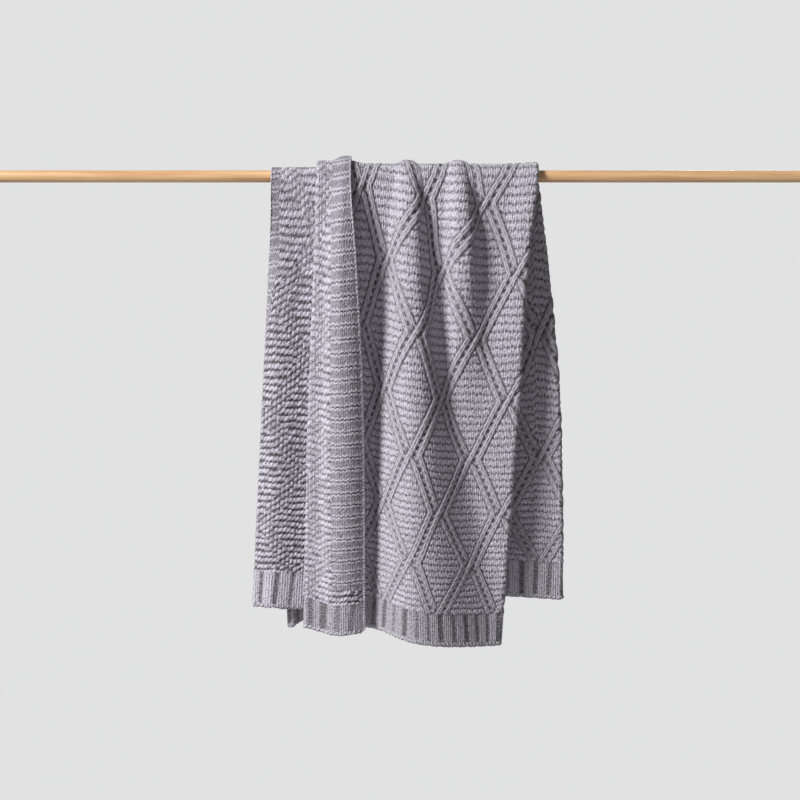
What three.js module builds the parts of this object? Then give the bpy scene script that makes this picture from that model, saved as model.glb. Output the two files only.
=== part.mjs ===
import * as THREE from 'three';

// A cable-knit throw of chenille yarn, one piece of cloth. It is folded in half down its length
// with the right side out, hung a little askew over a round wooden rod, and the free edge of its
// outer layer is turned back as a lapel.
// Millimetres, +Z up, +Y to the back. The origin is the middle of the rod's axis.

const rodDiameter = 22;
const rodLength = 1540;
const rodSides = 48;

const borderWidth = 60; // the flat band along each selvedge
const clothThickness = 5.5;
const rodGap = 1; // between the rod and the layer that lies on it
const gapOnRod = 0.8; // between two layers where they lie on the rod
const gapBelow = 3.7; // and where they hang free
const gapOpens = 90; // the drop below the axis at which they have come apart

const innerSeat = rodDiameter / 2 + rodGap + clothThickness / 2;

// The stations are distances down from the rod's axis, negative on the back. The tables below
// give a value at each: back hem, middle, upper, the rod, then front upper, middle, hem.
const stations = [-860, -420, -160, 0, 160, 420, 860];

// The lines that run down the outer layer. at is the place across the cloth from the lapel's
// selvedge, x the place along the rod at each station, and hem where the line ends, at the
// back and at the front.
const outerLines = [
  { name: 'selvedge', at: 0, x: [-24, -60, -78, -89, -79, -67, -63], hem: [797, 831] },
  { name: 'border', at: borderWidth, x: [-61, -90, -109, -122, -121, -123, -118], hem: [799, 836] },
  { name: 'lapel fold', at: [112, 105, 100, 96, 102, 112, 124],
    x: [-114, -135, -148, -153, -157, -167, -177], hem: [801, 824] },
  { name: 'wale 2', at: 202, x: [-18, -33, -46, -70, -73, -79, -90], hem: [793, 821] },
  { name: 'wale 3', at: 273, x: [54, 38, 20, -12, -22, -27, -29], hem: [784, 830] },
  { name: 'wale 4', at: 344, x: [127, 110, 90, 47, 38, 21, 16], hem: [775, 844] },
  { name: 'wale 5', at: 415, x: [200, 182, 158, 104, 80, 72, 66], hem: [769, 852] },
  { name: 'wale 6', at: 486, x: [273, 256, 226, 164, 149, 130, 123], hem: [775, 856] },
  { name: 'right fold', at: [506, 520, 539, 571, 575, 580, 571],
    x: [303, 296, 274, 254, 234, 218, 184], hem: [778, 857] },
];

// The inner layer runs from the right fold to the other selvedge, which turns under below the
// rod. share is the way across it, and hem is as above.
const innerHems = [
  { share: 0, hem: [778, 857] },
  { share: 0.25, hem: [771, 832] },
  { share: 0.6, hem: [783, 802] },
  { share: 0.92, hem: [804, 789] },
  { share: 1, hem: [827, 787] },
];
const innerEdge = { x: [-203, -220, -230, -237, -239, -251, -272] };
const edgeStrip = 20; // the width there, measured along the cloth, where it is still flat
// The drops between which it turns, the radius that its turn tightens to, and its length in the
// end. The back's waits until the front's is past.
const turnsUnder = {
  back: { starts: 250, full: 600, radius: 8, length: 26 },
  front: { starts: 40, full: 420, radius: 6, length: 52 },
};

// The folds that stand out from the hanging layers, away from the rod. Each is a soft ridge: at
// each station x is its crest, height how far it stands out, left and right how far its flanks
// reach. Between stations they change fastest near the rod, with foldGrowth, a power of the drop.
const foldGrowth = 0.5;
const folds = [
  { name: 'left edge roll', x: [-160, -188, -204, -214, -218, -225, -236],
    height: [16, 10, 6, 0, 6, 10, 15], left: [45, 38, 32, 25, 28, 31, 34], right: [60, 50, 41, 30, 45, 56, 70] },
  { name: 'ridge under the lapel', x: [-60, -75, -85, -92, -96, -100, -104],
    height: [10, 10, 9, 5, 28, 24, 15], left: [50, 45, 40, 30, 40, 44, 50], right: [50, 45, 40, 36, 58, 58, 60] },
  { name: 'first ridge', x: [-30, -9, 3, 13, 20, 27, 33],
    height: [22, 18, 14, 7, 37, 48, 70], left: [75, 56, 41, 26, 48, 72, 92], right: [70, 52, 38, 22, 42, 74, 175] },
  { name: 'second ridge', x: [125, 115, 109, 106, 114, 114, 128],
    height: [24, 19, 14, 7, 33, 4, 0], left: [80, 59, 42, 24, 37, 30, 42], right: [75, 56, 40, 22, 40, 55, 46] },
  { name: 'right roll', x: [296, 270, 255, 246, 233, 213, 178],
    height: [8, 7, 5, 3, 8, 3, 0], left: [80, 66, 55, 40, 55, 66, 80], right: [60, 53, 47, 40, 55, 66, 80] },
];

// The lapel stands out from the layer that it is turned back on, by this much more.
const lapelStand = {
  x: [-70, -100, -106, -106, -104, -100, -96],
  height: [20, 15, 10, 4, 14, 15, 12], left: [40, 34, 30, 22, 48, 66, 76], right: [75, 66, 45, 34, 62, 84, 92],
};

// The layers behind and beside are both the inner one: behind the outer layer, where it has the
// same columns, and past the lapel's fold.
const columnCounts = { lapel: 7, lapelTurn: 4, main: 21, rightTurn: 4, behind: 21, beside: 7, under: 9 };
const rowCounts = { back: 9, rod: 8, front: 14 };
const rowsCloseUp = 1.6; // the power that brings the rows closer together near the rod

// A smooth curve through the values at the knots.
function smooth(knots, values, at) {
  const last = knots.length - 1;
  let i = 0;
  while (i < last - 1 && at > knots[i + 1]) i += 1;
  const slope = (k) => {
    const before = Math.max(k - 1, 0);
    const after = Math.min(k + 1, last);
    return (values[after] - values[before]) / (knots[after] - knots[before]);
  };
  const span = knots[i + 1] - knots[i];
  const t = THREE.MathUtils.clamp((at - knots[i]) / span, 0, 1);
  const rest = 1 - t;
  return values[i] * rest * rest * (1 + 2 * t) + values[i + 1] * t * t * (3 - 2 * t)
    + span * t * rest * (slope(i) * rest - slope(i + 1) * t);
}

const onStations = (values, drop) => (Array.isArray(values) ? smooth(stations, values, drop) : values);

// The folds at one drop, then the lapel's stand. A whole section asks for the same ones, so they
// are kept.
const grown = (drop) => Math.sign(drop) * Math.abs(drop) ** foldGrowth;
const grownStations = stations.map(grown);
const foldsByDrop = new Map();
function foldsAt(drop) {
  if (!foldsByDrop.has(drop)) {
    const at = (values) => smooth(grownStations, values, grown(drop));
    foldsByDrop.set(drop, [...folds, lapelStand].map((fold) => ({
      x: at(fold.x), height: at(fold.height), left: at(fold.left), right: at(fold.right),
    })));
  }
  return foldsByDrop.get(drop);
}

function ridgeOut(x, fold) {
  const away = Math.min(Math.abs(x - fold.x) / (x < fold.x ? fold.left : fold.right), 1);
  return fold.height * Math.cos(away * Math.PI / 2) ** 2;
}

// How far the folds push the layers out from the rod at a place along it.
const foldsOut = (x, drop) => foldsAt(drop).slice(0, -1).reduce((out, fold) => out + ridgeOut(x, fold), 0);

// From the middle of one layer to the middle of the next, square to the cloth.
function layerStep(drop) {
  const open = THREE.MathUtils.smoothstep(Math.abs(drop), 0, gapOpens);
  return clothThickness + THREE.MathUtils.lerp(gapOnRod, gapBelow, open);
}

// The same step measured straight out from the rod, which is longer on the flank of a fold.
function stepOut(x, drop) {
  const flankSlope = (foldsOut(x + 1, drop) - foldsOut(x - 1, drop)) / 2;
  return layerStep(drop) * Math.hypot(1, flankSlope);
}

const innerOut = (x, drop) => innerSeat + foldsOut(x, drop);
const outerOut = (x, drop) => innerOut(x, drop) + stepOut(x, drop);
const lapelOut = (x, drop) => outerOut(x, drop) + stepOut(x, drop) + ridgeOut(x, foldsAt(drop).at(-1));

// The place along the rod for each place across a layer that lies evenly on its folds between the
// knots, as a function. It follows the layer in short steps.
function spreadOn(layerOut, drop, knots, places) {
  const steps = 96;
  const first = places[0];
  const last = places.at(-1);
  const xs = [first];
  const along = [0];
  for (let k = 1; k <= steps; k += 1) {
    xs.push(THREE.MathUtils.lerp(first, last, k / steps));
    const rise = layerOut(xs[k], drop) - layerOut(xs[k - 1], drop);
    along.push(along[k - 1] + Math.hypot(xs[k] - xs[k - 1], rise));
  }
  const between = (from, to, value) => {
    let k = 1;
    while (k < steps && from[k] < value) k += 1;
    return THREE.MathUtils.mapLinear(value, from[k - 1], from[k], to[k - 1], to[k]);
  };
  const alongAtKnots = places.map((place) => between(xs, along, place));
  return (across) => between(along, xs, smooth(knots, alongAtKnots, across));
}

// The section of the cloth at one drop, as the function of a column that gives its place along
// the rod and its distance out from the rod's axis.
function sectionAt(drop) {
  const turn = layerStep(drop) / 2;
  const inset = clothThickness / 2 + turn;
  const halfTurn = turn * Math.PI / 2;
  const at = outerLines.map((line) => onStations(line.at, drop));
  const x = outerLines.map((line) => onStations(line.x, drop));
  const fold = 2;
  x[fold] += inset;
  x[x.length - 1] -= inset;
  const lapelEnd = at[fold] - halfTurn;
  const mainStart = at[fold] + halfTurn;
  const mainEnd = at.at(-1) - halfTurn;
  const lapelAt = [at[0], at[1], lapelEnd];
  const mainAt = [mainStart, ...at.slice(fold + 1, -1), mainEnd];
  const { starts, full, radius, length } = drop < 0 ? turnsUnder.back : turnsUnder.front;
  const turned = Math.max(THREE.MathUtils.smoothstep(Math.abs(drop), starts, full), 0.001);
  const bend = turned / radius;
  const strip = THREE.MathUtils.lerp(edgeStrip, length, turned);
  const turnX = onStations(innerEdge.x, drop) + clothThickness / 2 + Math.sin(Math.min(strip * bend, Math.PI / 2)) / bend;
  const mainPlace = spreadOn(outerOut, drop, mainAt, x.slice(fold));
  const turnAround = (x0, lower, upper, away, share) => {
    const angle = (share - 0.5) * Math.PI;
    return {
      x: x0 + away * (upper - lower) / 2 * Math.cos(angle),
      out: (upper + lower) / 2 - (upper - lower) / 2 * Math.sin(angle),
    };
  };
  return {
    lapel: (share) => {
      const here = smooth(lapelAt, x.slice(0, 3), share * lapelEnd);
      return { x: here, out: lapelOut(here, drop) };
    },
    lapelTurn: (share) => turnAround(x[fold], outerOut(x[fold], drop), lapelOut(x[fold], drop), -1, share),
    main: (share) => {
      const here = mainPlace(THREE.MathUtils.lerp(mainStart, mainEnd, share));
      return { x: here, out: outerOut(here, drop) };
    },
    rightTurn: (share) => turnAround(x.at(-1), innerOut(x.at(-1), drop), outerOut(x.at(-1), drop), 1, share),
    behind: (share) => {
      const here = mainPlace(THREE.MathUtils.lerp(mainEnd, mainStart, share));
      return { x: here, out: innerOut(here, drop) };
    },
    beside: (share) => {
      const here = THREE.MathUtils.lerp(x[fold], turnX, share);
      return { x: here, out: innerOut(here, drop) };
    },
    under: (share) => {
      const path = (0.6 * share + 0.4 * share ** 2) * strip;
      const angle = Math.min(path * bend, Math.PI);
      const past = Math.max(path - Math.PI / bend, 0);
      const here = turnX - Math.sin(angle) / bend + past;
      return { x: here, out: innerOut(Math.max(here, turnX), drop) - (1 - Math.cos(angle)) / bend };
    },
  };
}

// Where each column of the cloth ends, at the back (0) or at the front (1).
function hemOf(part, share, end) {
  const last = end ? stations.at(-1) : stations[0];
  const outerHem = outerLines.map((line) => line.hem[end]);
  const at = outerLines.map((line) => onStations(line.at, last));
  const section = sectionAt(last);
  const innerHem = () => {
    const right = section.behind(0).x;
    const across = (right - section[part](share).x) / (right - section.beside(1).x);
    return smooth(innerHems.map((row) => row.share), innerHems.map((row) => row.hem[end]), across);
  };
  const ends = {
    lapel: () => smooth(at, outerHem, share * at[2]),
    lapelTurn: () => outerHem[2],
    main: () => smooth(at, outerHem, THREE.MathUtils.lerp(at[2], at.at(-1), share)),
    rightTurn: () => outerHem.at(-1),
    behind: innerHem,
    beside: innerHem,
    under: () => innerHems.at(-1).hem[end],
  };
  return ends[part]();
}

const columns = [];
for (const [part, count] of Object.entries(columnCounts)) {
  const first = columns.length ? 1 : 0;
  for (let i = first; i <= count; i += 1) columns.push({ part, share: i / count });
}

// The middle of the cloth's thickness, a row of points for each step from the back hem, over the
// rod, to the front hem.
function middleSurface() {
  const rows = [];
  const pointAt = (column, drop, angle) => {
    const { x, out } = sectionAt(drop)[column.part](column.share);
    if (angle === undefined) return new THREE.Vector3(x, drop < 0 ? out : -out, -Math.abs(drop));
    return new THREE.Vector3(x, -out * Math.sin(angle), out * Math.cos(angle));
  };
  for (let j = 0; j < rowCounts.back; j += 1) {
    const share = (1 - j / rowCounts.back) ** rowsCloseUp;
    rows.push(columns.map((c) => pointAt(c, -share * hemOf(c.part, c.share, 0))));
  }
  for (let j = 0; j <= rowCounts.rod; j += 1) {
    const angle = (j / rowCounts.rod - 0.5) * Math.PI;
    rows.push(columns.map((c) => pointAt(c, 0, angle)));
  }
  for (let j = 1; j <= rowCounts.front; j += 1) {
    const share = (j / rowCounts.front) ** rowsCloseUp;
    rows.push(columns.map((c) => pointAt(c, share * hemOf(c.part, c.share, 1))));
  }
  return rows;
}

// The closed solid: both faces of the cloth, half its thickness either side of the middle, and
// the rim round its four edges.
function clothGeometry() {
  const rows = middleSurface();
  const width = columns.length;
  const height = rows.length;
  const positions = [];
  for (const side of [1, -1]) {
    for (let j = 0; j < height; j += 1) {
      for (let i = 0; i < width; i += 1) {
        const down = rows[Math.min(j + 1, height - 1)][i].clone().sub(rows[Math.max(j - 1, 0)][i]);
        const across = rows[j][Math.min(i + 1, width - 1)].clone().sub(rows[j][Math.max(i - 1, 0)]);
        const normal = down.cross(across).normalize();
        const point = rows[j][i].clone().addScaledVector(normal, side * clothThickness / 2);
        positions.push(point.x, point.y, point.z);
      }
    }
  }
  const index = [];
  const face = (a, b, c, d) => index.push(a, b, c, a, c, d);
  const vertex = (side, i, j) => side * width * height + j * width + i;
  // The inner layer runs back the other way, so its faces are split along the other diagonal,
  // which keeps the two layers parallel.
  const innerStarts = columns.findIndex((column) => column.part === 'behind');
  for (let j = 0; j < height - 1; j += 1) {
    for (let i = 0; i < width - 1; i += 1) {
      const corners = [[i, j], [i, j + 1], [i + 1, j + 1], [i + 1, j]];
      if (i >= innerStarts) corners.push(corners.shift());
      const [a, b, c, d] = corners;
      face(...[a, b, c, d].map(([column, row]) => vertex(0, column, row)));
      face(...[a, d, c, b].map(([column, row]) => vertex(1, column, row)));
    }
  }
  const rim = (i0, j0, i1, j1) => {
    face(vertex(0, i0, j0), vertex(0, i1, j1), vertex(1, i1, j1), vertex(1, i0, j0));
  };
  for (let i = 0; i < width - 1; i += 1) {
    rim(i, 0, i + 1, 0);
    rim(i + 1, height - 1, i, height - 1);
  }
  for (let j = 0; j < height - 1; j += 1) {
    rim(0, j + 1, 0, j);
    rim(width - 1, j, width - 1, j + 1);
  }
  const geometry = new THREE.BufferGeometry();
  geometry.setAttribute('position', new THREE.Float32BufferAttribute(positions, 3));
  geometry.setIndex(index);
  geometry.computeVertexNormals();
  return geometry;
}

const chenille = new THREE.MeshStandardMaterial({ color: '#b3afb8', roughness: 0.95, metalness: 0 });
const paleWood = new THREE.MeshStandardMaterial({ color: '#e0b07a', roughness: 0.55, metalness: 0 });

const throwCloth = new THREE.Mesh(clothGeometry(), chenille);
throwCloth.name = 'throw';

const rodRadius = rodDiameter / 2;
const rod = new THREE.Mesh(new THREE.CylinderGeometry(rodRadius, rodRadius, rodLength, rodSides), paleWood);
rod.name = 'rod';
rod.rotation.z = Math.PI / 2;

const hangingThrow = new THREE.Group();
hangingThrow.add(throwCloth, rod);

export default hangingThrow;
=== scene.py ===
"""A cable-knit chenille throw, folded in half down its length and hung over a wooden rod."""

import functools
import math

import bpy
import numpy as np
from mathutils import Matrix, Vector


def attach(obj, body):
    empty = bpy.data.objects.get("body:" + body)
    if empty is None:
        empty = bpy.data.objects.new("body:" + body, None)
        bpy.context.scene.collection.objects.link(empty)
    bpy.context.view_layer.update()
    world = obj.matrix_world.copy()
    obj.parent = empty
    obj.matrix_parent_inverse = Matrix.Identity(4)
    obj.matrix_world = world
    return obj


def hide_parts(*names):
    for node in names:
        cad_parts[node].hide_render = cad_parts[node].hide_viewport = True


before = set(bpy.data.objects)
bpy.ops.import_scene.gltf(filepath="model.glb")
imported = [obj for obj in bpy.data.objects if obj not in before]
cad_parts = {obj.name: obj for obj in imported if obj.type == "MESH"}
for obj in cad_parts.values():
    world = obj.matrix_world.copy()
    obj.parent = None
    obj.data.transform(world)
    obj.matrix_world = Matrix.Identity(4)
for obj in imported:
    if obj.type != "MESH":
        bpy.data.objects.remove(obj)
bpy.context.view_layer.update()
bpy.ops.object.select_all(action="DESELECT")


# ---- Studio -----------------------------------------------------------------------------------
# The camera stands square to the throw. A large soft light hangs to its left, a faint one fills
# in from its right, and a third lights its back. The pale room softens the shadows, and the
# floor lies well below the throw's hem.

camera_distance = 4.0
camera_height = -0.41
view_width = 1.46  # what the camera takes in at the front of the throw
front_of_throw = -0.02
middle_of_throw = (0, 0, -0.4)

bpy.ops.object.camera_add(
    location=(0, -camera_distance, camera_height), rotation=(math.pi / 2, 0, 0)
)
camera = bpy.context.object
camera.name = "camera"
camera.data.lens = camera.data.sensor_width * (camera_distance + front_of_throw) / view_width
bpy.context.scene.camera = camera
bpy.context.scene.view_settings.view_transform = "Standard"


def soft_light(name, place, aim, size, watts, colour):
    """A square lamp of that size in metres, turned towards the point that it aims at."""
    bpy.ops.object.light_add(type="AREA", location=place)
    lamp = bpy.context.object
    lamp.name = name
    lamp.data.size = size
    lamp.data.energy = watts
    lamp.data.color = colour
    direction = lamp.location - Vector(aim)
    lamp.rotation_euler = direction.to_track_quat("Z", "Y").to_euler()


soft_light("key_light", (-4.1, -3.15, 2.65), middle_of_throw, 1.6, 565, (1.0, 0.985, 0.97))
soft_light("fill_light", (1.2, -3.6, 0.8), middle_of_throw, 2.0, 14, (0.96, 0.97, 1.0))
soft_light("back_light", (1.6, 3.4, 1.2), middle_of_throw, 1.6, 90, (1.0, 0.99, 0.98))

world = bpy.data.worlds.new("pale_room")
bpy.context.scene.world = world
world.use_nodes = True
room = world.node_tree.nodes
room["Background"].inputs["Color"].default_value = (0.82, 0.74, 0.68, 1)
room["Background"].inputs["Strength"].default_value = 0.1
seen = room.new("ShaderNodeBackground")
seen.inputs["Color"].default_value = (0.76, 0.76, 0.765, 1)
to_camera = room.new("ShaderNodeLightPath")
choice = room.new("ShaderNodeMixShader")
world.node_tree.links.new(to_camera.outputs["Is Camera Ray"], choice.inputs["Fac"])
world.node_tree.links.new(room["Background"].outputs["Background"], choice.inputs[1])
world.node_tree.links.new(seen.outputs["Background"], choice.inputs[2])
world.node_tree.links.new(choice.outputs["Shader"], room["World Output"].inputs["Surface"])


def new_finish(name, roughness):
    """A new material of that roughness, its node tree and its Principled shader."""
    finish = bpy.data.materials.new(name)
    finish.use_nodes = True
    shader = finish.node_tree.nodes["Principled BSDF"]
    shader.inputs["Roughness"].default_value = roughness
    return finish, finish.node_tree, shader


floor_height = -1.62
floor_size = 3.2

bpy.ops.mesh.primitive_plane_add(size=floor_size, location=(0, 0, floor_height))
floor = bpy.context.object
floor.name = "floor"
floor_paint, _, shader = new_finish("pale_floor", 0.9)
shader.inputs["Base Color"].default_value = (0.78, 0.78, 0.78, 1)
floor.data.materials.append(floor_paint)


# ---- Rod --------------------------------------------------------------------------------------
# A plain round dowel of pale wood, cut square, sanded and clear finished. It keeps its own
# solid, and its grain runs along it.

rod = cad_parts["rod"]
dark_grain = (0.50, 0.28, 0.13, 1)
wood_colour = (0.62, 0.38, 0.195, 1)
light_grain = (0.71, 0.47, 0.26, 1)


def add_node(tree, kind, **sockets):
    """A shader node of that kind, with the named input sockets set or linked."""
    node = tree.nodes.new("ShaderNode" + kind)
    for name, value in sockets.items():
        socket = node.inputs[name.replace("_", " ")]
        if isinstance(value, bpy.types.NodeSocket):
            tree.links.new(value, socket)
        else:
            socket.default_value = value
    return node


def colour_ramp(tree, factor, stops):
    """A colour ramp through (position, colour) stops."""
    ramp = add_node(tree, "ValToRGB", Fac=factor)
    ramp.color_ramp.elements[0].position, ramp.color_ramp.elements[0].color = stops[0]
    ramp.color_ramp.elements[1].position, ramp.color_ramp.elements[1].color = stops[-1]
    for position, colour in stops[1:-1]:
        ramp.color_ramp.elements.new(position).color = colour
    return ramp.outputs["Color"]


pale_wood, tree, shader = new_finish("pale_wood", 0.42)
place = add_node(tree, "TexCoord").outputs["Object"]
along_grain = add_node(tree, "Mapping", Vector=place, Scale=(1.6, 40, 40)).outputs["Vector"]
grain = add_node(tree, "TexNoise", Vector=along_grain, Scale=4.0, Detail=6.0, Distortion=0.3)
tint = colour_ramp(
    tree, grain.outputs["Fac"], [(0.3, dark_grain), (0.5, wood_colour), (0.72, light_grain)]
)
tree.links.new(tint, shader.inputs["Base Color"])
fine_grain = add_node(tree, "Mapping", Vector=place, Scale=(6, 500, 500)).outputs["Vector"]
pores = add_node(tree, "TexNoise", Vector=fine_grain, Scale=2.0, Detail=3.0)
relief = add_node(tree, "Bump", Height=pores.outputs["Fac"], Strength=0.12, Distance=0.0004)
tree.links.new(relief.outputs["Normal"], shader.inputs["Normal"])
rod.data.materials.clear()
rod.data.materials.append(pale_wood)


# ---- Throw: how it hangs ----------------------------------------------------------------------
# One piece of cloth, folded down its length with the right side out and hung over the rod, the
# free edge of its outer layer turned back as a lapel. Sizes are in millimetres. A place on it is
# across, from the lapel's selvedge, and drop, down from the rod's axis, negative on the back.

millimetre = 0.001
cloth_width = 1114
border_width = 60  # the flat band along each selvedge
layer_room = 5.5  # the thickness that each layer is given
rod_radius = 11
rod_gap = 1
gap_on_rod = 0.8
gap_below = 3.7
gap_opens = 90  # the drop at which the layers have come apart
inner_seat = rod_radius + rod_gap + layer_room / 2
rim_half = 1  # what half the cloth's thickness takes at its edge

# The drops at which the tables give their values: back hem, middle, upper, the rod, then front
# upper, middle, hem.
stations = np.array([-860, -420, -160, 0, 160, 420, 860.0])

# The lines that run down the outer layer: the place across the cloth and the place along the rod,
# at each station, and where the line ends at the back and at the front.
outer_lines = {
    "selvedge": ([0] * 7, [-24, -60, -78, -89, -79, -67, -63], (797, 831)),
    "border": ([border_width] * 7, [-61, -90, -109, -122, -121, -123, -118], (799, 836)),
    "lapel fold": (
        [112, 105, 100, 96, 102, 112, 124], [-114, -135, -148, -153, -157, -167, -177], (801, 824)
    ),
    "wale 2": ([202] * 7, [-18, -33, -46, -70, -73, -79, -90], (793, 821)),
    "wale 3": ([273] * 7, [54, 38, 20, -12, -22, -27, -29], (784, 830)),
    "wale 4": ([344] * 7, [127, 110, 90, 47, 38, 21, 16], (775, 844)),
    "wale 5": ([415] * 7, [200, 182, 158, 104, 80, 72, 66], (769, 852)),
    "wale 6": ([486] * 7, [273, 256, 226, 164, 149, 130, 123], (775, 856)),
    "right fold": (
        [506, 520, 539, 571, 575, 580, 571], [303, 296, 274, 254, 234, 218, 184], (778, 857)
    ),
}
lapel_fold = list(outer_lines).index("lapel fold")

# The inner layer: the share of the way across it, and its hem at the back and at the front.
inner_hems = [(0, 778, 857), (0.25, 771, 832), (0.6, 783, 802), (0.92, 804, 789), (1, 827, 787)]
inner_edge_x = [-203, -220, -230, -237, -239, -251, -272]
edge_strip = 20  # the border's width at the rod, along the cloth
# Below the rod the selvedge turns under: the drops between which it does, the radius that its
# turn tightens to, and the border's width in the end, at the back and at the front.
turns_under = ((250, 600, 8, 26), (40, 420, 6, 52))

# The folds that stand out from the rod. Each is a soft ridge: its crest, its height, and how far
# its left and right flanks reach, at each station.
folds = {
    "left edge roll": {
        "x": [-160, -188, -204, -214, -218, -225, -236],
        "height": [16, 10, 6, 0, 6, 10, 15],
        "left": [45, 38, 32, 25, 28, 31, 34],
        "right": [60, 50, 41, 30, 45, 56, 70],
    },
    "ridge under the lapel": {
        "x": [-60, -75, -85, -92, -96, -100, -104],
        "height": [10, 10, 9, 5, 28, 24, 15],
        "left": [50, 45, 40, 30, 40, 44, 50],
        "right": [50, 45, 40, 36, 58, 58, 60],
    },
    "first ridge": {
        "x": [-30, -9, 3, 13, 20, 27, 33],
        "height": [22, 18, 14, 7, 37, 48, 70],
        "left": [75, 56, 41, 26, 48, 72, 92],
        "right": [70, 52, 38, 22, 42, 74, 175],
    },
    "second ridge": {
        "x": [125, 115, 109, 106, 114, 114, 128],
        "height": [24, 19, 14, 7, 33, 4, 0],
        "left": [80, 59, 42, 24, 37, 30, 42],
        "right": [75, 56, 40, 22, 40, 55, 46],
    },
    "right roll": {
        "x": [296, 270, 255, 246, 233, 213, 178],
        "height": [8, 7, 5, 3, 8, 3, 0],
        "left": [80, 66, 55, 40, 55, 66, 80],
        "right": [60, 53, 47, 40, 55, 66, 80],
    },
}
# The lapel stands off the layer below it in one more ridge.
lapel_stand = {
    "x": [-70, -100, -106, -106, -104, -100, -96],
    "height": [20, 15, 10, 4, 14, 15, 12],
    "left": [40, 34, 30, 22, 48, 66, 76],
    "right": [75, 66, 45, 34, 62, 84, 92],
}


def smooth(knots, values, at):
    """A smooth curve through the values at the knots, level past the ends."""
    last = len(knots) - 1
    slopes = []
    for i in range(len(knots)):
        before, after = max(i - 1, 0), min(i + 1, last)
        slopes.append((values[after] - values[before]) / (knots[after] - knots[before]))
    curve = 0
    for i in range(last):
        span = knots[i + 1] - knots[i]
        t = np.clip((at - knots[i]) / span, 0, 1)
        rest = 1 - t
        stretch = (
            values[i] * rest**2 * (1 + 2 * t)
            + values[i + 1] * t**2 * (3 - 2 * t)
            + span * t * rest * (slopes[i] * rest - slopes[i + 1] * t)
        )
        curve = stretch if i == 0 else np.where(at > knots[i], stretch, curve)
    return curve


def ease(value, low, high):
    """From 0 at low to 1 at high, level at both."""
    t = np.clip((value - low) / (high - low), 0, 1)
    return t * t * (3 - 2 * t)


def grown(drop):
    """The folds grow fastest near the rod, with this power of the drop."""
    return np.sign(drop) * np.abs(drop) ** 0.5


@functools.lru_cache(maxsize=None)
def folds_at(drop):
    """The folds at one drop: crest, height, and reach to the left and right."""
    return [
        [float(smooth(grown(stations), values, grown(drop))) for values in fold.values()]
        for fold in (*folds.values(), lapel_stand)
    ]


def ridge_out(x, crest, height, left, right):
    """How far one ridge stands out at each place along the rod."""
    away = np.minimum(np.abs(x - crest) / np.where(x < crest, left, right), 1)
    return height * np.cos(away * np.pi / 2) ** 2


def folds_out(x, drop):
    """How far all the folds stand out together, but for the lapel's own."""
    return sum(ridge_out(x, *fold) for fold in folds_at(drop)[:-1])


def layer_step(drop):
    """From the middle of one layer to the middle of the next, square to the cloth."""
    return layer_room + gap_on_rod + (gap_below - gap_on_rod) * ease(abs(drop), 0, gap_opens)


def step_out(x, drop):
    """The same step straight out from the rod."""
    slope = (folds_out(x + 1, drop) - folds_out(x - 1, drop)) / 2
    return layer_step(drop) * np.hypot(1, slope)


def inner_out(x, drop):
    """From the rod's axis out to the middle of the inner layer."""
    return inner_seat + folds_out(x, drop)


def outer_out(x, drop):
    """From the rod's axis out to the middle of the outer layer."""
    return inner_out(x, drop) + step_out(x, drop)


def lapel_out(x, drop):
    """From the rod's axis out to the middle of the lapel."""
    return outer_out(x, drop) + step_out(x, drop) + ridge_out(x, *folds_at(drop)[-1])


def turned(x, lower, upper, away, share):
    """A half turn from the upper layer to the lower one, as (x, out)."""
    angle = (share - 0.5) * np.pi
    radius = (upper - lower) / 2
    return x + away * radius * np.cos(angle), (upper + lower) / 2 - radius * np.sin(angle)


def spread(layer_out, drop, knots, places, across):
    """The places along the rod of a layer that lies evenly on its folds between the knots."""
    share = np.linspace(0, 1, 500)
    x = places[0] + (places[-1] - places[0]) * share
    steps = np.hypot(np.diff(x), np.diff(layer_out(x, drop)))
    along = np.concatenate([[0], np.cumsum(steps)])
    knot_shares = (np.array(places) - places[0]) / (places[-1] - places[0])
    return np.interp(smooth(knots, np.interp(knot_shares, share, along), across), along, x)


def border_curl(drop):
    """The inner layer's border as a strip that curls under: its width, its bend, which is one over
    the radius, and the place along the rod where it starts to curl."""
    starts, full, radius, length = turns_under[int(drop > 0)]
    under = max(ease(abs(drop), starts, full), 0.001)
    bend = under / radius
    width = edge_strip + (length - edge_strip) * under
    reach = np.sin(min(width * bend, np.pi / 2)) / bend
    return width, bend, float(smooth(stations, inner_edge_x, drop)) + rim_half + reach


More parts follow.
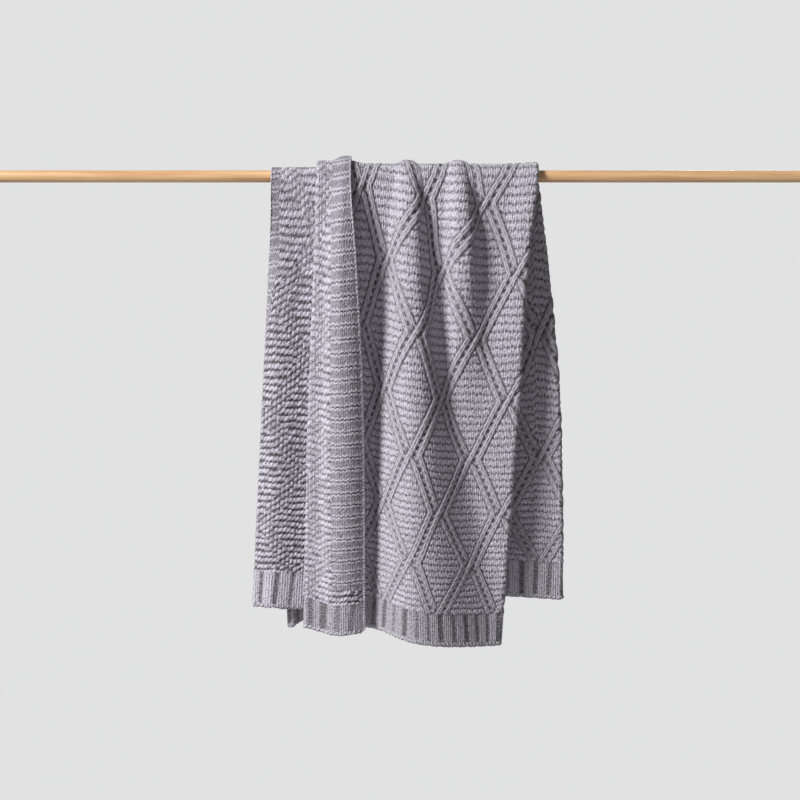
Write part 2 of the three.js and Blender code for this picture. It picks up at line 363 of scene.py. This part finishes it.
def section(across, drop):
    """The cloth at one drop: the place along the rod and the distance out from its axis for every
    place across, the outer edge of the right fold, and where the selvedge turns under."""
    # Each fold takes up a half turn of the cloth.
    turn = layer_step(drop) / 2
    half_turn = turn * np.pi / 2
    at = [float(smooth(stations, line[0], drop)) for line in outer_lines.values()]
    x = [float(smooth(stations, line[1], drop)) for line in outer_lines.values()]
    x[lapel_fold] += layer_room / 2 + turn
    x[-1] -= layer_room / 2 + turn
    fold_x, right_x = x[lapel_fold], x[-1]
    lapel_end, main_start = at[lapel_fold] - half_turn, at[lapel_fold] + half_turn
    main_end, inner_start = at[-1] - half_turn, at[-1] + half_turn

    on_lapel = smooth([*at[:lapel_fold], lapel_end], x[: lapel_fold + 1], across)
    main_knots = [main_start, *at[lapel_fold + 1 : -1], main_end]
    on_main = spread(outer_out, drop, main_knots, x[lapel_fold:], across)

    curl_width, bend, turn_x = border_curl(drop)
    inner_border = cloth_width - border_width
    on_inner = spread(inner_out, drop, [inner_start, inner_border], [right_x, turn_x], across)
    path = np.maximum((across - inner_border) / border_width, 0) * curl_width
    angle = np.minimum(path * bend, np.pi)
    on_border = turn_x - np.sin(angle) / bend + np.maximum(path - np.pi / bend, 0)
    border_out = inner_out(np.maximum(on_border, turn_x), drop) - (1 - np.cos(angle)) / bend

    lapel_turn = turned(
        fold_x, outer_out(fold_x, drop), lapel_out(fold_x, drop), -1,
        (across - lapel_end) / (2 * half_turn),
    )
    right_turn = turned(
        right_x, inner_out(right_x, drop), outer_out(right_x, drop), 1,
        (across - main_end) / (2 * half_turn),
    )
    # In turn: whether a place is on this part or before it, and where it then is.
    parts = [
        (across <= lapel_end, on_lapel, lapel_out(on_lapel, drop)),
        (across < main_start, *lapel_turn),
        (across <= main_end, on_main, outer_out(on_main, drop)),
        (across < inner_start, *right_turn),
        (across < inner_border, on_inner, inner_out(on_inner, drop)),
    ]
    reached, part_x, part_out = zip(*parts)
    place_x = np.select(reached, part_x, on_border)
    return place_x, np.select(reached, part_out, border_out), right_x, turn_x


# The sections of the whole cloth, one at each step down from the back hem to the front one.
drop_step = 4
hang_across = np.linspace(0, cloth_width, cloth_width + 1)
hang_drops = np.arange(stations[0], stations[-1] + 1, drop_step)
hang_x, hang_out = np.moveaxis([section(hang_across, drop)[:2] for drop in hang_drops], 1, 0)


def hung(table, across, drop):
    """What a table of the sections gives at a place on the cloth."""
    row = (drop - hang_drops[0]) / drop_step
    i = np.clip(np.floor(row).astype(int), 0, len(hang_drops) - 2)
    j = np.clip(np.floor(across).astype(int), 0, cloth_width - 1)
    low, side = row - i, across - j
    return (table[i, j] * (1 - side) + table[i, j + 1] * side) * (1 - low) + (
        table[i + 1, j] * (1 - side) + table[i + 1, j + 1] * side
    ) * low


def hem_drop(across, end):
    """Where the cloth ends, at the back (0) or at the front (1)."""
    last = stations[-1 if end else 0]
    at = [float(smooth(stations, line[0], last)) for line in outer_lines.values()]
    outer = smooth(at, [line[2][end] for line in outer_lines.values()], across)
    place_x, _, right_x, turn_x = section(across, last)
    share = (right_x - place_x) / (right_x - turn_x)
    inner = smooth([row[0] for row in inner_hems], [row[end + 1] for row in inner_hems], share)
    return np.where(across < at[-1], outer, inner)


# ---- Throw: how it is knitted -----------------------------------------------------------------
# Garter ridges run across it, and 7 rows of 7 diamonds are laid over them in cables of two
# knitted ribs. Both ends have a ribbed hem with a bumpy edge, and both selvedges a flat ladder
# border. A place in the knitting is stitch, across, and ridge, up from the front hem's top.

border_stitches = 7
border_stitch = 8.5  # about the width of one of them
lattice_stitches = 112
all_stitches = lattice_stitches + 2 * border_stitches
lattice_ridges = 112
diamonds_across = 7
diamond_ridges = 16
half_diamond = (cloth_width - 2 * border_width) / (2 * diamonds_across)
hem_ridges = 5
hem_pitch = 28.4  # from rib to rib of a hem
hem_across = np.array([0, 200, 540, 700, cloth_width])
hem_heights = np.array([(60, 54), (60, 57), (66, 58), (68, 64), (66, 65.0)])  # back, front
# The hanging cloth's own weight stretches it, most at the rod. Its ridges double in height over
# these lengths, at the back and at the front, and front_ridges sets how many fit on the front.
slack_lengths = (1062, 1275)
front_ridges = 126

rib_spacing = 15.7  # from rib to rib of one cable, across the cloth
rib_half_width = 5.6
rib_height = 2.9  # beside the hems
rib_growth = 0.6  # how much higher the ribs are further up
edge_of_cable = 0.5 + rib_half_width / rib_spacing  # from its middle, in rib spacings
# Where two cables cross, over this many ridges, one rises and the other sinks by these shares.
crossing_ridges, crossing_rise, crossing_sink = 0.8, 0.15, 0.8
bar_height, bar_half = 1.3, 0.27  # the bars between a cable's two ribs, and half of one in ridges
ridge_height = 2.8
ridge_waver = (0.05, 0.07)  # how far the ridges waver, on the right side and on the wrong one
loop_half = 0.37  # half the height of the wrong side's loops, in ridges
pebble_radius = 0.47  # of the loops on the back of a cable, in ridges
pit_half = 0.27  # half the height of the right side's pits, in ridges
loops_to_stitch = 1.25  # each ridge is knitted a little closer than the ribs
rung_height = 2.4
# A rung of the ladder is two strands with a groove between them. In ridges: from rung to rung,
# half a rung, from its middle to a strand's, half a strand and half the groove.
rung_ridges, rung_half, strand_middle, strand_half, groove_half = 1.75, 0.43, 0.25, 0.2, 0.08
band_height = 1.15  # the smooth knitting between the rungs
hem_rises = (1.6, 2.15)  # the ribs of the hems, on the outer layer and on the inner one
hem_change = (520, 590)  # where across the cloth the first give way to the second
edge_row_middle = 4  # the looped row at a hem's edge, along the cloth
edge_row_half = 4.5
edge_row_top = 9
selvedge_cord = 3.2  # the height of the cord along each selvedge
cord_middle, cord_half = 0.3, 0.33  # in stitches, in from the selvedge
rim_curve = 3  # how far in from its edges the cloth is rounded
corner_size = (9, 25, 5)  # a hem's round corner: its width, its height and how far it lifts
core_half = 1.3  # half the cloth's thickness between the ridges
turned_stitches = 5.6  # those of the inner selvedge's ladder, which turns under below the rod


def across_of(stitch):
    """Across the cloth, in millimetres, for a stitch."""
    edges = [0, border_stitches, border_stitches + lattice_stitches, all_stitches]
    return np.interp(stitch, edges, [0, border_width, cloth_width - border_width, cloth_width])


def lie_of(stitch, ridge):
    """The middle of the cloth's thickness at each stitch and ridge, and its distance from the
    nearer end, which is measured along the cloth."""
    across = across_of(stitch)
    seat = hung(hang_out, across, np.zeros_like(across))
    drops = [hem_drop(across, end) for end in (0, 1)]
    hems = [smooth(hem_across, hem_heights[:, end], across) for end in (0, 1)]
    growths = [
        np.log((slack + drop + seat * np.pi / 2) / (slack + hem))
        for slack, drop, hem in zip(slack_lengths, drops, hems)
    ]
    top_ridge = front_ridges * growths[1]
    rates = [(lattice_ridges - top_ridge) / growths[0], front_ridges]

    def path_at(end, count):
        """How far along the cloth that many ridges are from that end."""
        stretched = (slack_lengths[end] + hems[end]) * np.exp(np.maximum(count, 0) / rates[end])
        return np.where(
            count < 0, hems[end] * (1 + count / hem_ridges), stretched - slack_lengths[end]
        )

    ridge = np.asarray(ridge, float)[:, None]
    in_front = ridge < top_ridge
    path = np.where(in_front, path_at(1, ridge), path_at(0, lattice_ridges - ridge))
    hang = np.where(in_front, drops[1], drops[0]) - path
    drop = np.where(in_front, 1, -1) * np.maximum(hang, 0)
    angle = np.where(in_front, 1, -1) * (np.pi / 2 - np.clip(-hang / seat, 0, np.pi / 2))
    x, out = hung(hang_x, across, drop), hung(hang_out, across, drop)
    out = np.where(hang > 0, out, seat)
    return np.stack([x, -out * np.sin(angle), out * np.cos(angle) - np.abs(drop)], axis=-1), path


def wrapped(value, period):
    """The value brought to within half a period of zero."""
    return (value + period / 2) % period - period / 2


def rounded(distance):
    """The round of a strand of yarn, from 1 along its middle to 0 at its side, a distance of 1."""
    return np.sqrt(np.clip(1 - distance**2, 0, 1))


rows_below, places_before = 30, 4  # those that the hem and the selvedge need
uneven_shape = (2 * (lattice_ridges + rows_below), 2 * all_stitches)
uneven = np.random.default_rng(11).uniform(-1, 1, uneven_shape)


def unevenness(stitch, row):
    """A number from -1 to 1 for each stitch of each row."""
    rows = np.clip(np.floor(row).astype(int) + rows_below, 0, uneven_shape[0] - 1)
    places = np.clip(np.floor(stitch).astype(int) + places_before, 0, uneven_shape[1] - 1)
    return uneven[rows, places]


def waver(stitch, beat):
    """The gentle rise and fall of the ridges along the rows, from -1 to 1."""
    return np.sin(0.8 * stitch + 3 * np.sin(0.3 * beat))


def loops_of(stitch, beat):
    """The wrong side's ridges: rows of slanted loops side by side, with deep gaps between them."""
    beat = beat + ridge_waver[1] * waver(stitch, beat)
    row = np.floor(beat)
    up = beat - row - 0.5
    place = loops_to_stitch * stitch + 0.22 * up
    odd, shift = unevenness(place, 2 * row), unevenness(place, 2 * row + 1)
    along = place - np.floor(place) - 0.5
    off = (up + 0.2 * along - 0.06 * np.cos(2 * np.pi * along) - 0.11 * shift) / loop_half
    return rounded(off) ** 0.8 * (1 + 0.3 * odd) * (1 - 0.4 * (2 * along) ** 2)


def pebbled(stitch, beat):
    """The back of a cable, as the wrong side shows it: uneven loops, each half a ridge above or
    below the next."""
    place = loops_to_stitch * stitch
    beat = beat + 0.5 * np.floor(place) + 0.15 * unevenness(place, 0 * beat)
    along, up = place - np.floor(place) - 0.5, beat - np.floor(beat) - 0.5
    away = np.hypot(0.7 * along, up + 0.2 * along) / pebble_radius
    return rounded(np.clip(away, 0, 1)) * (0.85 + 0.3 * unevenness(place, 2 * beat))


def pitted(stitch, beat):
    """The right side's ridges: slanted strands side by side, with a row of small pits between each
    ridge and the next."""
    beat = beat + ridge_waver[0] * waver(stitch, beat)
    beat = beat + 0.08 * np.cos(np.pi * loops_to_stitch * stitch)
    row = np.round(beat)
    gap = np.abs(beat - row)
    place = loops_to_stitch * stitch + 0.8 * gap + 0.37 * row
    odd = unevenness(place, 2 * row)
    strand = 0.5 + 0.5 * np.cos(2 * np.pi * place)
    pit = np.clip(0.5 + (0.4 + 0.3 * odd) * (1 - strand), 0, 1)
    return (0.66 + 0.24 * strand + 0.1 * odd) * (1 - pit * np.clip(1 - gap / pit_half, 0, 1))


def cables(across, ridge, stretch):
    """The cables' height, how far a place is from the nearest rib's middle, in half widths, and
    from the nearest cable's middle, in rib spacings. Cables keep their width where the cloth
    around them is gathered or stretched."""
    half_rows = ridge / (diamond_ridges / 2)
    row = np.floor(half_rows)
    rise = half_rows - row
    spacing, half_width = rib_spacing / stretch, rib_half_width / stretch
    lean = (half_diamond - spacing) * rise
    place_x = across - border_width - ((row + 1) % 2) * half_diamond
    height = 0
    off_rib = off_cable = np.inf
    for side in (1, -1):
        for rib in (0, 1):
            distance = np.abs(wrapped(side * place_x - lean - rib * spacing, 2 * half_diamond))
            ridges_to_node = np.abs(rib - rise) * diamond_ridges / 2
            crossing = np.exp(-((ridges_to_node / crossing_ridges) ** 2))
            lift = 1 + crossing_rise * crossing if side > 0 else 1 - crossing_sink * crossing
            height = np.maximum(height, rounded(distance / half_width) ** 0.7 * lift)
            off_rib = np.minimum(off_rib, distance / half_width)
        middle = wrapped(side * place_x - lean - spacing / 2, 2 * half_diamond)
        off_cable = np.minimum(off_cable, np.abs(middle) / spacing)
    return height, off_rib, off_cable


def right_side(stitch, ridge, from_end, stretch):
    """The right side's height, garter ridges with cables over them, and how far each place is from
    the middle of a cable's rib, 0 to 1, or 2 off the ribs."""
    cable, off_rib, off_cable = cables(across_of(stitch), ridge, stretch)
    crisp = ease(from_end, 2, 34)  # near the hems the cables are softer
    clear = ease(off_cable, edge_of_cable - 0.02, edge_of_cable + 0.09 + 0.11 * crisp)
    garter = ridge_height * pitted(stitch, ridge)
    bars = 0.7 - 0.4 * crisp + bar_height * rounded((ridge - np.floor(ridge) - 0.5) / bar_half)
    bars = bars * (off_cable < 0.5)
    ribs = (rib_height + rib_growth * crisp) * cable
    height = np.maximum(garter * clear, np.maximum(ribs, bars))
    return height, np.where(off_rib < 1, off_rib, 2)


def wrong_side_of(stitch, ridge, from_end, stretch):
    """The wrong side's height: rows of loops, broken up on the backs of the cables, and drawn
    flatter along the lapel's fold and towards the rod."""
    across = across_of(stitch)
    beat = ridge + 0.5
    _, _, off_cable = cables(across, ridge, stretch)
    in_cable = 1 - ease(off_cable, edge_of_cable - 0.2, edge_of_cable + 0.2)
    loops, broken = ridge_height * loops_of(stitch, beat), ridge_height * pebbled(stitch, beat)
    height = loops * (1 - in_cable) + broken * in_cable
    over_fold = ease(across, border_width, 72) * ease(across, 135, 112)
    drawn_flat = np.maximum(0.4 * over_fold, 0.3 * ease(from_end, 30, 54))
    return height + drawn_flat * (0.72 * ridge_height - height)


def ladder_border(stitch, ridge, from_end):
    """The border along a selvedge: how much a place belongs to it, its height, and whether it is
    the smooth knitting between two rungs."""
    from_border = np.where(
        stitch <= all_stitches / 2,
        stitch - border_stitches,
        all_stitches - turned_stitches - stitch,
    )
    in_border = ease(from_border, 0.25, 0) * ease(from_end, 2, 3)
    rung = wrapped(ridge - 0.25, rung_ridges) + 0.09 * np.cos(2 * np.pi * stitch)
    rung = rung + 0.05 * unevenness(stitch, 2 * np.floor(ridge / rung_ridges) + 1)
    off_rung = np.abs(rung)
    strand = rung_height * rounded((off_rung - strand_middle) / strand_half)
    strand = np.where(off_rung > groove_half, strand, 0.15 * rung_height)
    is_band = off_rung >= rung_half
    return in_border, np.where(is_band, band_height, strand), is_band


def ribbed_hem(across, ridge, from_end, wrong_side):
    """The hem's height, wide ribs with narrow channels of short bars between them, some opened
    wider than others, and how much of a rib each place is."""
    if wrong_side:  # its channels are wider on the lapel
        first_channel, half_channel, uneven_row = 0.8, 0.03 + 0.09 * ease(across, 150, 110), 7
    else:
        first_channel, half_channel, uneven_row = 0.81, 0.05, 3
    rib = (across + 1.4 * np.cos(across / 75) * from_end) / hem_pitch
    rib = rib - first_channel  # a channel at each whole number
    opened = 0.5 + 0.5 * unevenness(np.round(rib), 0 * rib + uneven_row)
    half_channel = half_channel + 0.09 * opened
    channel = ease(np.abs(rib - np.round(rib)), half_channel + 0.13, half_channel - 0.02)
    rise = 1 - channel * (0.6 + 0.35 * opened)
    bars = rounded(wrapped(ridge, 0.5) / 0.2)
    return np.interp(across, hem_change, hem_rises) * rise + channel * 0.5 * bars, rise


def with_edges(height, stitch, ridge, path):
    """The height with the looped row at a hem's edge, and the cord along each selvedge."""
    edge_row = rounded(np.clip((path - edge_row_middle) / edge_row_half, -1, 1))
    loops = edge_row * (2 + 0.7 * np.cos(2 * np.pi * (stitch + 0.1 * path)))
    above = height * ease(path, edge_row_middle, 7)
    height = np.where(path < edge_row_top, np.maximum(loops, above), height)
    stitches_in = np.minimum(stitch, all_stitches - stitch)
    cord = rounded(np.clip((stitches_in - cord_middle) / cord_half, -1, 1))
    return np.maximum(height, cord * (selvedge_cord + 0.9 * np.cos(4 * np.pi * ridge)))


def relief_of(stitch, ridge, path, stretch, wrong_side):
    """How far the knitting stands out of the cloth's core, in millimetres, how far a place is from
    the middle of a cable's rib, 0 to 1, or 2 off the ribs, and how clearly its smooth knitting
    shows fine stripes."""
    stitch, ridge = np.broadcast_arrays(stitch, ridge)
    from_end = np.minimum(ridge, lattice_ridges - ridge)
    stretch = np.clip(stretch, 0.55, 1.1)
    if wrong_side:
        height = wrong_side_of(stitch, ridge, from_end, stretch)
        column = np.full(ridge.shape, 2.0)
    else:
        height, column = right_side(stitch, ridge, from_end, stretch)
    stripes = np.where(column > 1, 0.4 if wrong_side else 0.8, 0)

    in_border, ladder, is_band = ladder_border(stitch, ridge, from_end)
    height = height * (1 - in_border) + ladder * in_border
    stripes = np.where((in_border > 0.5) & is_band, 1, stripes)

    in_hem = ease(from_end, 0.15, -0.15)
    hem, rise = ribbed_hem(across_of(stitch), ridge, from_end, wrong_side)
    height = height * (1 - in_hem) + hem * in_hem
    stripes = np.where(in_hem > 0.5, 1.6 * rise, stripes)
    column = np.where(in_hem > 0.5, 2, column)
    return with_edges(height, stitch, ridge, path), column, stripes


def knitted_face(stitches, ridges, wrong_side, plain):
    """One face of the cloth: its points in metres, then for each its depth in the knitting, which
    sets the painted shade between the stitches, its place across a rib, how clearly it shows
    stripes, and its stitch and ridge. A plain face, which is out of sight, has no relief."""
    stitch, ridge = np.asarray(stitches, float)[None, :], np.asarray(ridges, float)[:, None]
    middle, path = lie_of(stitch[0], ridge[:, 0])
    across_way = np.gradient(middle, axis=1)
    up_way = np.gradient(middle, axis=0)
    outward = np.cross(across_way, up_way)
    outward /= np.linalg.norm(outward, axis=-1, keepdims=True)
    relief, column, stripes = np.zeros(path.shape), np.full(path.shape, 2.0), np.zeros(path.shape)
    if not plain:
        stretch = np.linalg.norm(across_way, axis=-1) / np.gradient(across_of(stitch[0]))
        relief, column, stripes = relief_of(stitch, ridge, path, stretch, wrong_side)
    from_selvedge = np.minimum(stitch, all_stitches - stitch) * border_stitch
    from_edge = np.minimum(path, from_selvedge)
    rounding = 0.25 + 0.75 * np.sqrt(1 - np.clip(1 - from_edge / rim_curve, 0, 1) ** 2)
    pressed = 1 - 0.4 * ease(middle[..., 2], -30, 0)  # where it lies on the rod
    side = -1 if wrong_side else 1
    points = middle + outward * (side * (core_half + relief * pressed) * rounding)[..., None]
    corner_width, corner_height, lift = corner_size
    corner = np.clip(1 - from_selvedge / corner_width, 0, 1) ** 2
    points[..., 2] += lift * (corner * np.clip(1 - path / corner_height, 0, 1))
    if not plain:  # the hem's ribs and the loops of its edge row hang a little lower
        loops = stripes - 1.2 + 0.8 * np.cos(2 * np.pi * stitch)
        points[..., 2] -= np.clip(1 - path / 8, 0, 1) * loops
    # The relief's depth, 0 in the hollows and 1 on top, which the yarn's colour turns into painted
    # shade.
    shade_by_depth = np.full(path.shape, 0.5) if plain else np.clip(relief / ridge_height, 0, 1)
    knit = np.stack(np.broadcast_arrays(stitch, ridge), axis=-1)
    return points * millimetre, (shade_by_depth, column, stripes), knit


def strip(a, a_at, b, b_at, flip):
    """The triangles between two rows of vertices that run the same way."""
    faces = []
    i = j = 0
    while i < len(a) - 1 or j < len(b) - 1:
        if j == len(b) - 1 or (i < len(a) - 1 and a_at[i + 1] <= b_at[j + 1]):
            faces.append((a[i], b[j], a[i + 1]))
            i += 1
        else:
            faces.append((a[i], b[j], b[j + 1]))
            j += 1
    return [face[::-1] for face in faces] if flip else faces


def sharpen_rims(mesh, ids):
    """Makes sharp the edges all round the two faces, whose vertices are numbered in ids."""
    rim = np.zeros(len(mesh.vertices), int)
    for face_number, number in enumerate(ids):
        for edge in (number[0], number[-1], number[:, 0], number[:, -1]):
            rim[edge] = face_number + 1
    ends = np.zeros(len(mesh.edges) * 2, np.int32)
    mesh.edges.foreach_get("vertices", ends)
    ends = rim[ends.reshape(-1, 2)]
    sharp = mesh.attributes.new("sharp_edge", "BOOLEAN", "EDGE")
    sharp.data.foreach_set("value", (ends[:, 0] > 0) & (ends[:, 0] == ends[:, 1]))


def cloth_piece(name, right, wrong):
    """A closed piece of the cloth. right and wrong each give a face's stitches, ridges and
    whether it is plain."""
    points, looks, knits, ids, faces = [], [], [], [], []
    start = 0
    for wrong_side, (stitches, ridges, plain) in enumerate((right, wrong)):
        grid, look, knit = knitted_face(stitches, ridges, bool(wrong_side), plain)
        number = np.arange(start, start + look[0].size).reshape(look[0].shape)
        start += number.size
        quads = np.stack(
            [number[:-1, :-1], number[:-1, 1:], number[1:, 1:], number[1:, :-1]], axis=-1
        ).reshape(-1, 4)
        faces += (quads[:, ::-1] if wrong_side else quads).tolist()
        points.append(grid.reshape(-1, 3))
        looks.append(np.reshape(look, (3, -1)))
        knits.append(knit.reshape(-1, 2))
        ids.append(number)
    (a, b), (a_cols, a_rows, _), (b_cols, b_rows, _) = ids, right, wrong
    faces += strip(a[0], a_cols, b[0], b_cols, False)
    faces += strip(a[-1], a_cols, b[-1], b_cols, True)
    faces += strip(a[:, 0], a_rows, b[:, 0], b_rows, True)
    faces += strip(a[:, -1], a_rows, b[:, -1], b_rows, False)

    mesh = bpy.data.meshes.new(name)
    mesh.from_pydata(np.concatenate(points), [], faces)
    mesh.polygons.foreach_set("use_smooth", np.ones(len(mesh.polygons), bool))
    sharpen_rims(mesh, ids)
    # The first of these sets the painted shade between the stitches.
    for layer_name, values in zip(("depth_for_painted_shade", "knit_column", "knit_stripes"), np.hstack(looks)):
        layer = mesh.attributes.new(layer_name, "FLOAT", "POINT")
        layer.data.foreach_set("value", values.astype(np.float32))
    corners = np.zeros(len(mesh.loops), np.int32)
    mesh.loops.foreach_get("vertex_index", corners)
    place = np.concatenate(knits)[corners].astype(np.float32)
    mesh.uv_layers.new(name="knit").data.foreach_set("uv", place.ravel())
    piece = bpy.data.objects.new(name, mesh)
    bpy.context.collection.objects.link(piece)
    return piece


# ---- Throw: its yarn --------------------------------------------------------------------------
# Thick chenille yarn in a light lavender grey with a short matt pile, and painted shade that makes
# it darker down between the stitches. Smooth knitting shows how the yarn runs.

# The ramp runs from painted shade in the hollows, through the yarn's grey, to the lighter yarn on
# the raised stitches.
painted_shade_grey = (0.09, 0.083, 0.092, 1)
lavender_grey = (0.33, 0.316, 0.367, 1)
pale_raised_yarn = (0.64, 0.618, 0.73, 1)

chenille, tree, shader = new_finish("chenille", 0.95)
shader.inputs["Sheen Weight"].default_value = 0.25
shader.inputs["Sheen Roughness"].default_value = 0.5
shader.inputs["Specular IOR Level"].default_value = 0.2


def maths(tree, operation, *values):
    """A maths node of that operation on sockets or numbers."""
    node = tree.nodes.new("ShaderNodeMath")
    node.operation = operation
    for socket, value in zip(node.inputs, values):
        if isinstance(value, bpy.types.NodeSocket):
            tree.links.new(value, socket)
        else:
            socket.default_value = value
    return node.outputs["Value"]


def attribute(tree, name):
    """What the mesh keeps under that name at each point."""
    node = tree.nodes.new("ShaderNodeAttribute")
    node.attribute_name = name
    return node.outputs["Fac"]


# A cable's ribs show two slanting legs of yarn, other smooth knitting fine upright stripes.
place = add_node(tree, "TexCoord").outputs["Object"]
knit_uv = tree.nodes.new("ShaderNodeUVMap")
knit_uv.uv_map = "knit"
knit_place = add_node(tree, "SeparateXYZ", Vector=knit_uv.outputs["UV"]).outputs
column = attribute(tree, "knit_column")
on_rib = maths(tree, "LESS_THAN", column, 1.02)
leg = maths(tree, "SINE", maths(tree, "MULTIPLY", column, math.pi))
turns = maths(tree, "MULTIPLY", knit_place["Y"], math.tau)
slant = maths(tree, "MULTIPLY_ADD", column, 0.7 * math.tau, turns)
legs = maths(tree, "MULTIPLY_ADD", leg, 0.55, -0.82)
legs = maths(tree, "MULTIPLY_ADD", maths(tree, "SINE", slant), 0.16, legs)
stripe = maths(tree, "COSINE", maths(tree, "MULTIPLY", knit_place["X"], 2 * math.tau))
clearness = maths(tree, "MULTIPLY", attribute(tree, "knit_stripes"), 0.15)
stripes = maths(tree, "MULTIPLY", stripe, clearness)
legs = maths(tree, "MULTIPLY_ADD", legs, on_rib, stripes)

# The pile is a fuzz of fine grains, a little weaker on the ribs.
grains = add_node(tree, "TexVoronoi", Vector=place, Scale=270.0, Randomness=0.9).outputs["Distance"]
pile = add_node(tree, "TexNoise", Vector=place, Scale=520.0, Detail=2.0, Roughness=0.7)
fuzz = maths(tree, "MULTIPLY_ADD", pile.outputs["Fac"], 0.9, 0.45)
fuzz = maths(tree, "MULTIPLY_ADD", grains, -0.9, fuzz)
fuzz = maths(tree, "MULTIPLY", fuzz, maths(tree, "MULTIPLY_ADD", on_rib, -0.2, 0.45))

# Painted shade: dark down between the stitches, pale where they stand out.
shade_by_depth = maths(tree, "MULTIPLY_ADD", attribute(tree, "depth_for_painted_shade"), 0.82, -0.19)
thread = maths(tree, "MULTIPLY_ADD", legs, 0.5, fuzz)
shade = maths(tree, "ADD", shade_by_depth, thread)
tint = colour_ramp(tree, shade, [(0.1, painted_shade_grey), (0.45, lavender_grey), (0.9, pale_raised_yarn)])
tree.links.new(tint, shader.inputs["Base Color"])
relief = add_node(tree, "Bump", Height=thread, Strength=1.0, Distance=0.004)
tree.links.new(relief.outputs["Normal"], shader.inputs["Normal"])


# ---- Throw: its pieces ------------------------------------------------------------------------
# The cloth is one, but its mesh is made in six parts that meet along hidden lines of stitches
# and along one ridge at the top of the rod.

# How many points the mesh has to a stitch and to a ridge. Plain faces, which are out of sight,
# have few, and so do the inner layers where their right sides face each other.
per_stitch = 5
plain_per_stitch = 1
lapel_plain_per_stitch = 2
per_ridge = 6
lapel_per_ridge = 8
hidden_per_ridge = 4
plain_per_ridge = 1.5

first_ridge = -hem_ridges
last_ridge = lattice_ridges + hem_ridges
seam_ridge = 60  # just behind the top of the rod
lapel_seam = 20  # the stitch under the lapel where it meets the main piece
right_side_fine = 114  # past this stitch the inner layer's right side is fine

# Each half's ridges, the stitch in its inner layer where its main piece ends, out of sight, and
# the one past which the inner layer's wrong side is fine.
halves = {
    "front": (first_ridge, seam_ridge, 68, 106),
    "back": (seam_ridge, last_ridge, 75, 104),
}


def count(start, stop, per):
    """Evenly spaced places from start to stop, that many for each stitch or ridge."""
    return np.linspace(start, stop, round((stop - start) * per) + 1)


def coarse_then_fine(start, change, stop):
    """Widely spaced places up to the change, then close ones."""
    coarse, fine = count(start, change, plain_per_stitch), count(change, stop, per_stitch)
    return np.concatenate([coarse[:-1], fine])


for half, (start, stop, inner_seam, wrong_side_fine) in halves.items():
    fine, lapel, hidden, plain = [
        count(start, stop, per)
        for per in (per_ridge, lapel_per_ridge, hidden_per_ridge, plain_per_ridge)
    ]
    faces = {  # for each piece, its right side and its wrong side
        "main": (
            (count(lapel_seam, inner_seam, per_stitch), fine, False),
            (count(lapel_seam, inner_seam, plain_per_stitch), plain, True),
        ),
        "lapel": (
            (count(0, lapel_seam, lapel_plain_per_stitch), plain, True),
            (count(0, lapel_seam, per_stitch), lapel, False),
        ),
        "inner": (
            (coarse_then_fine(inner_seam, right_side_fine, all_stitches), hidden, False),
            (coarse_then_fine(inner_seam, wrong_side_fine, all_stitches), fine, False),
        ),
    }
    for part, (right, wrong) in faces.items():
        piece = cloth_piece(f"throw_{half}_{part}", right, wrong)
        piece.data.materials.append(chenille)
        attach(piece, "root")
        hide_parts("throw")
